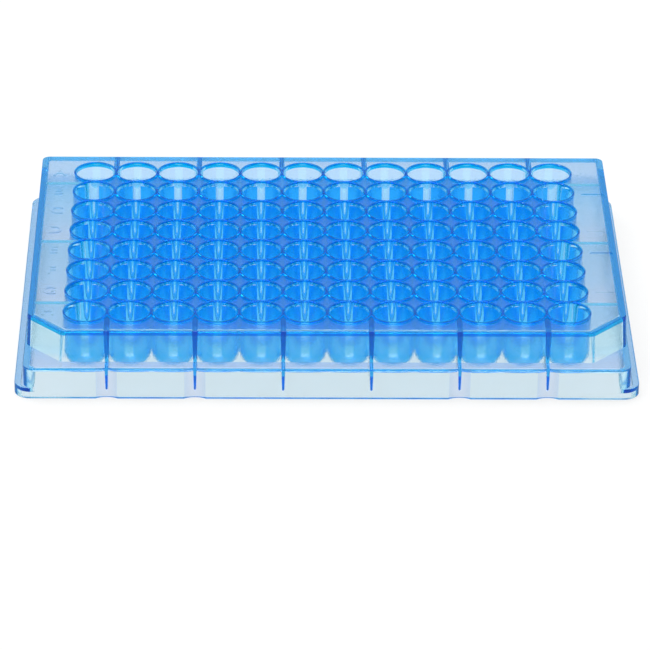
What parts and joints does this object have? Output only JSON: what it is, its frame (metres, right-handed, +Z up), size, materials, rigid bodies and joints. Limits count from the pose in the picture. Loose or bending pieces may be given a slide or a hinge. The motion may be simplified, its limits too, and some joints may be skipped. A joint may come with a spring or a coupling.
{
  "type": "well plate",
  "caption": "Shallow rectangular moulded laboratory plate with a grid of round-bottom wells, a stepped skirt and two cut corners.",
  "frame": {"origin": "centre of the footprint, on the surface that the plate stands on", "axes": "+X along the columns, from the first to the last; +Y towards the rear row, away from the two cut corners; +Z up, out of the wells"},
  "size_m": [0.1278, 0.0854, 0.0143],
  "materials": {
    "clear_blue_plastic": "polished, transparent"
  },
  "bodies": {
    "root": {"well_plate": "clear_blue_plastic"}
  },
  "joints": []
}
